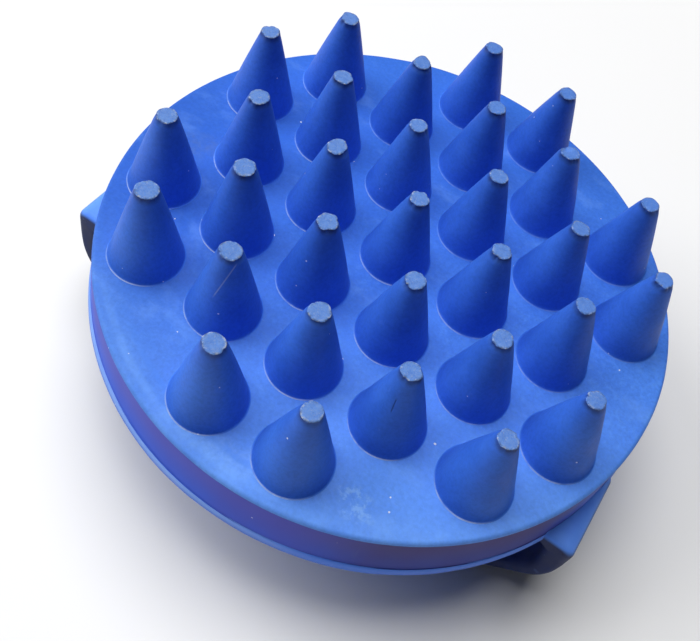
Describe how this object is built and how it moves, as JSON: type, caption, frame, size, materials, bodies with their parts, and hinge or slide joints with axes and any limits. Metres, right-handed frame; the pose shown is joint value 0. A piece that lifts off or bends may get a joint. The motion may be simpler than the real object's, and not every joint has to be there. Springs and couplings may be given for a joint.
{
  "type": "curry comb",
  "caption": "Round one-colour rubber massage curry comb: shallow hollow disc with a flared lip, stout flat-tipped cones on its face and a hand strap arching across its back.",
  "frame": {"origin": "under the middle of the disc, level with the lowest face of the strap", "axes": "+Z out of the cones' tips, X along the strap, +Y towards the finger side and -Y towards the wrist side"},
  "size_m": [0.13, 0.13, 0.0611],
  "materials": {
    "face": "matt moulded rubber, faintly chalky",
    "wall": "matt moulded rubber",
    "lip": "matt moulded rubber",
    "cones": "matt moulded rubber, tips ground pale by use",
    "strap": "matt moulded rubber"
  },
  "bodies": {
    "pad": {"face_plate": "face", "side_wall": "wall", "base_lip": "lip", "strap_anchor_right": "strap", "strap_anchor_left": "strap", "cone_01": "cones", "cone_02": "cones", "cone_03": "cones", "cone_04": "cones", "cone_05": "cones", "cone_06": "cones", "cone_07": "cones", "cone_08": "cones", "cone_09": "cones", "cone_10": "cones", "cone_11": "cones", "cone_12": "cones", "cone_13": "cones", "cone_14": "cones", "cone_15": "cones", "cone_16": "cones", "cone_17": "cones", "cone_18": "cones", "cone_19": "cones", "cone_20": "cones", "cone_21": "cones", "cone_22": "cones", "cone_23": "cones", "cone_24": "cones", "cone_25": "cones", "cone_26": "cones", "cone_27": "cones", "cone_28": "cones", "cone_29": "cones", "cone_30": "cones", "cone_31": "cones"},
    "strap": {"strap_arm_right": "strap", "strap_arm_left": "strap", "strap_pad": "strap"}
  },
  "joints": [
    {"name": "strap_lean", "type": "hinge", "parent": "pad", "child": "strap", "pos_m": [0, -0.018, 0.021], "axis": [1, 0, 0], "range_deg": [-20, 20], "stiffness_Nm_per_rad": 1.4}
  ]
}
